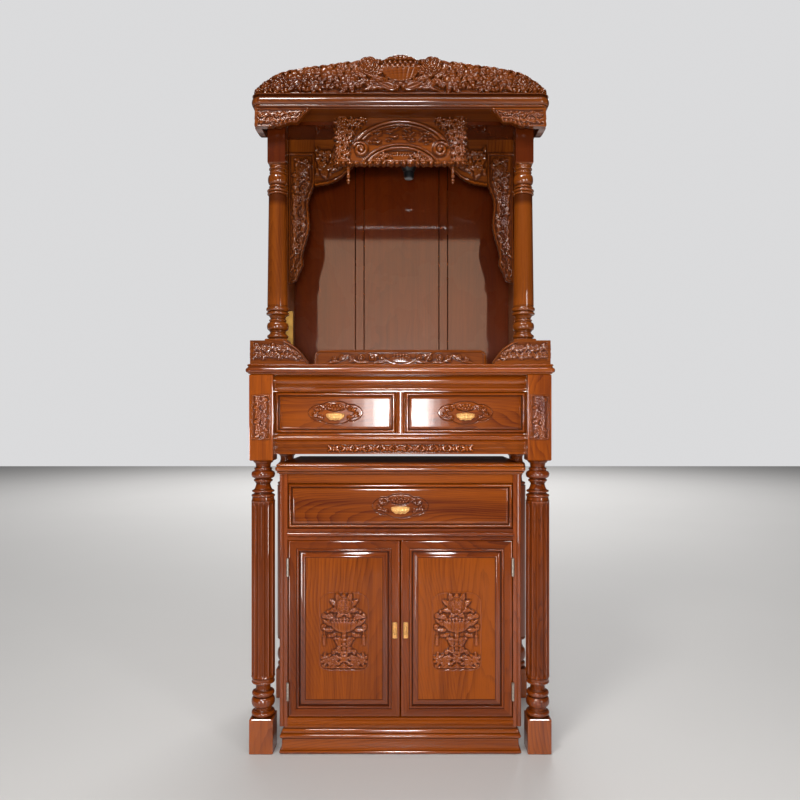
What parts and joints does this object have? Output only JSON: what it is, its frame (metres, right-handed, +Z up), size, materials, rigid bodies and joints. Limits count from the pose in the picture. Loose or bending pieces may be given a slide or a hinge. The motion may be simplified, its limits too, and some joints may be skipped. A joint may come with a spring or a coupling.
{
  "type": "household altar cabinet",
  "caption": "Tall lacquered altar cabinet: a carved open shrine on a table with drawers, and a doored cabinet below it between the turned legs.",
  "frame": {"origin": "on the floor, under the middle of the table top", "axes": "+Z up, -Y towards the front with the drawers and doors, +X to the viewer's right"},
  "size_m": [0.88, 0.48, 2.0003],
  "materials": {
    "lacquer": "glossy red-brown lacquer",
    "dark_lacquer": "glossy dark lacquer",
    "brass": "pale polished brass",
    "steel": "satin",
    "black_fitting": "black",
    "bare_wood": "unvarnished"
  },
  "bodies": {
    "root": {"table_top": "lacquer", "front_rail_upper": "lacquer", "front_rail_lower": "lacquer", "front_apron": "lacquer", "drawer_divider": "lacquer", "back_apron": "lacquer", "drawer_board": "lacquer", "cornice": "lacquer", "crest": "lacquer", "plaque": "lacquer", "arch_apron": "lacquer", "fence_centre": "lacquer", "cabinet_top": "lacquer", "cabinet_rail_top": "lacquer", "cabinet_rail_middle": "lacquer", "cabinet_bottom": "lacquer", "cabinet_plinth": "lacquer", "leg_front_left": "lacquer", "leg_front_right": "lacquer", "leg_back_left": "lacquer", "leg_back_right": "lacquer", "side_apron_left": "lacquer", "side_apron_right": "lacquer", "column_left": "lacquer", "column_right": "lacquer", "side_wall_left": "lacquer", "side_wall_right": "lacquer", "bracket_left": "lacquer", "bracket_right": "lacquer", "fence_left": "lacquer", "fence_right": "lacquer", "pendant_left": "lacquer", "pendant_right": "lacquer", "side_board_left": "lacquer", "side_board_right": "lacquer", "cabinet_side_left": "lacquer", "cabinet_side_right": "lacquer", "back_wall": "dark_lacquer", "ceiling": "dark_lacquer", "cabinet_back": "dark_lacquer", "cabinet_shelf": "dark_lacquer", "lamp_fitting": "black_fitting", "pale_batten": "bare_wood", "hinge_lower_left": "steel", "hinge_lower_right": "steel", "hinge_upper_left": "steel", "hinge_upper_right": "steel"},
    "table_drawer_left": {"table_drawer_left": "lacquer", "table_drawer_left_pull": "brass"},
    "table_drawer_right": {"table_drawer_right": "lacquer", "table_drawer_right_pull": "brass"},
    "cabinet_drawer": {"cabinet_drawer": "lacquer", "cabinet_drawer_pull": "brass"},
    "door_left": {"door_left": "lacquer", "door_pull_left": "brass"},
    "door_right": {"door_right": "lacquer", "door_pull_right": "brass"}
  },
  "joints": [
    {"name": "table_drawer_left_slide", "type": "slide", "parent": "root", "child": "table_drawer_left", "axis": [0, -1, 0], "range_m": [0, 0.28]},
    {"name": "table_drawer_right_slide", "type": "slide", "parent": "root", "child": "table_drawer_right", "axis": [0, -1, 0], "range_m": [0, 0.28]},
    {"name": "cabinet_drawer_slide", "type": "slide", "parent": "root", "child": "cabinet_drawer", "axis": [0, -1, 0], "range_m": [0, 0.3]},
    {"name": "door_left_hinge", "type": "hinge", "parent": "root", "child": "door_left", "pos_m": [-0.3195, -0.2313, 0.3546], "axis": [0, 0, -1], "range_deg": [0, 110]},
    {"name": "door_right_hinge", "type": "hinge", "parent": "root", "child": "door_right", "pos_m": [0.3195, -0.2313, 0.3546], "axis": [0, 0, 1], "range_deg": [0, 110]}
  ]
}
